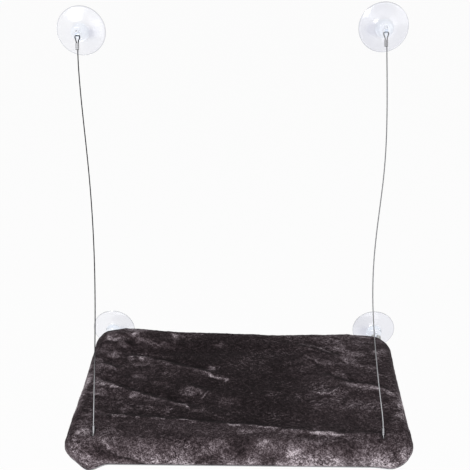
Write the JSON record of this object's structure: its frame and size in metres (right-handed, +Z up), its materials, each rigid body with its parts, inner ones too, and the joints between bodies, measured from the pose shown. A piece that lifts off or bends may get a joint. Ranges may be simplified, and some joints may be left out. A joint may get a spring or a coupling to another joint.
{
  "type": "window mounted cat perch",
  "caption": "Plush cat mat on a tube frame, hinged to two suction cups and hung from two more by crimped steel cables, folding up against the window.",
  "frame": {"origin": "on the window pane, midway between the two rear cups' axes, which are also the height of the frame's tubes", "axes": "+Y out through the pane, from the room; +Z up along the pane; +X to the right as seen from the room"},
  "size_m": [0.602, 0.3781, 0.6879],
  "materials": {
    "clear_pvc": "clear soft PVC, glossy",
    "ferrule_aluminium": "plain, crimped",
    "coated_steel_cable": "stranded steel under a thin clear coat",
    "pin_steel": "satin",
    "fitting_plastic": "moulded, matte",
    "tube_plastic": "extruded, matte",
    "plush": "short dark brown pile",
    "base_cloth": "grey woven cloth",
    "wadding": "polyester wadding",
    "zipper_tape_cloth": "woven tape",
    "zipper_plastic": "moulded teeth",
    "zipper_metal": "plated"
  },
  "bodies": {
    "window_cups": {"suction_cup_upper_left": "clear_pvc", "suction_cup_upper_right": "clear_pvc", "suction_cup_rear_left": "clear_pvc", "suction_cup_rear_right": "clear_pvc", "upper_ferrule_left": "ferrule_aluminium", "upper_ferrule_right": "ferrule_aluminium", "cable_left": "coated_steel_cable", "cable_right": "coated_steel_cable"},
    "mat": {"hinge_pin_left": "pin_steel", "hinge_pin_right": "pin_steel", "hinge_pin_cap_left": "fitting_plastic", "hinge_pin_cap_right": "fitting_plastic", "front_tube": "tube_plastic", "rear_tube": "tube_plastic", "side_tube_left": "tube_plastic", "side_tube_right": "tube_plastic", "elbow_front_left": "fitting_plastic", "elbow_front_right": "fitting_plastic", "elbow_rear_left": "fitting_plastic", "elbow_rear_right": "fitting_plastic", "plush_cover": "plush", "base_panel": "base_cloth", "wadding_pad": "wadding", "lower_ferrule_left": "ferrule_aluminium", "lower_ferrule_right": "ferrule_aluminium", "zipper_tape": "zipper_tape_cloth", "zipper_teeth": "zipper_plastic", "zipper_stops": "zipper_metal"},
    "zipper_slider": {"zipper_slider": "zipper_metal"},
    "zipper_pull": {"zipper_pull": "zipper_metal"}
  },
  "joints": [
    {"name": "mat_fold", "type": "hinge", "parent": "window_cups", "child": "mat", "pos_m": [0, -0.031, 0], "axis": [-1, 0, 0], "range_deg": [0, 80], "deforming": ["cable_left", "cable_right"]},
    {"name": "zipper_slide", "type": "slide", "parent": "mat", "child": "zipper_slider", "axis": [-1, 0, 0], "range_m": [0, 0.366]},
    {"name": "zipper_pull_swing", "type": "hinge", "parent": "zipper_slider", "child": "zipper_pull", "pos_m": [0.1832, -0.1145, -0.03094], "axis": [0, 1, 0], "range_deg": [-80, 80]}
  ]
}
